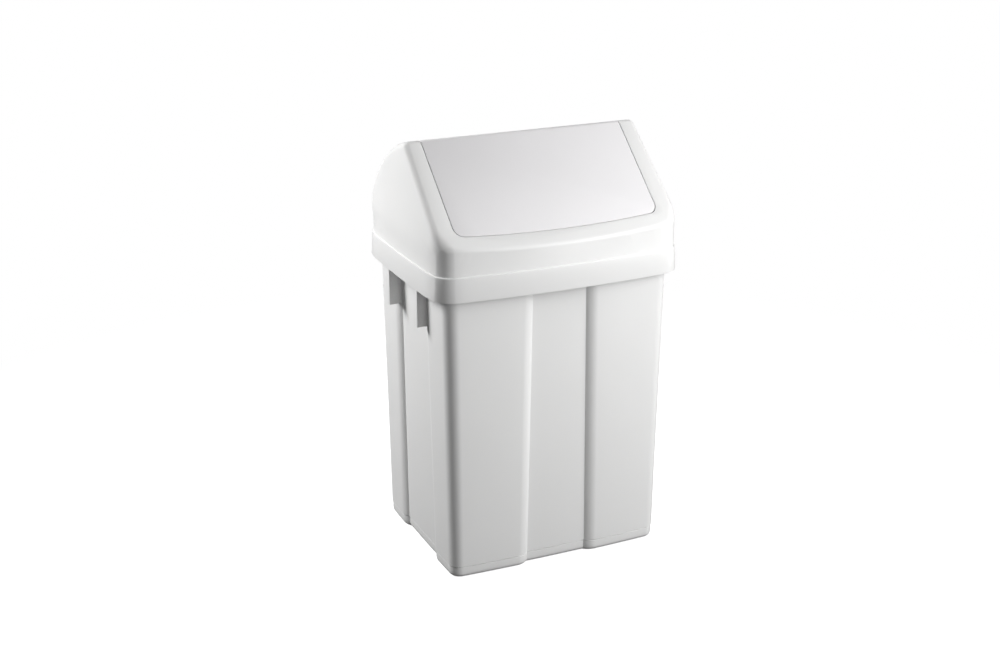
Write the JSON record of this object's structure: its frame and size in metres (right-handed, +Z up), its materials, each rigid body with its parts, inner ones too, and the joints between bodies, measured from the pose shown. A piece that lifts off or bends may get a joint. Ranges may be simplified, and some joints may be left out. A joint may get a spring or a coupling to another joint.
{
  "type": "countertop swing-lid waste bin",
  "caption": "Upright tapered waste bin with recessed wall panels and side grips, closed by a lift-off hood whose balanced flap swings on pivot pins.",
  "frame": {"origin": "centre of the footprint, on the surface that the bin stands on", "axes": "+Z up, front of the bin (the flat sloping side of the hood) towards -Y, +X to the right as seen from the front"},
  "size_m": [0.267, 0.2098, 0.4293],
  "materials": {
    "tub_plastic": "satin",
    "hood_plastic": "satin",
    "flap_plastic": "satin",
    "pin_plastic": "matte"
  },
  "bodies": {
    "tub": {"tub": "tub_plastic"},
    "hood": {"hood": "hood_plastic"},
    "flap": {"flap": "flap_plastic", "pivot_pin_left": "pin_plastic", "pivot_pin_right": "pin_plastic"}
  },
  "joints": [
    {"name": "hood_lift", "type": "slide", "parent": "tub", "child": "hood", "axis": [0, 0, 1], "range_m": [0, 0.15]},
    {"name": "flap_swing", "type": "hinge", "parent": "hood", "child": "flap", "pos_m": [0, 0.00052, 0.4163], "axis": [1, 0, 0], "range_deg": [-80, 80]}
  ]
}
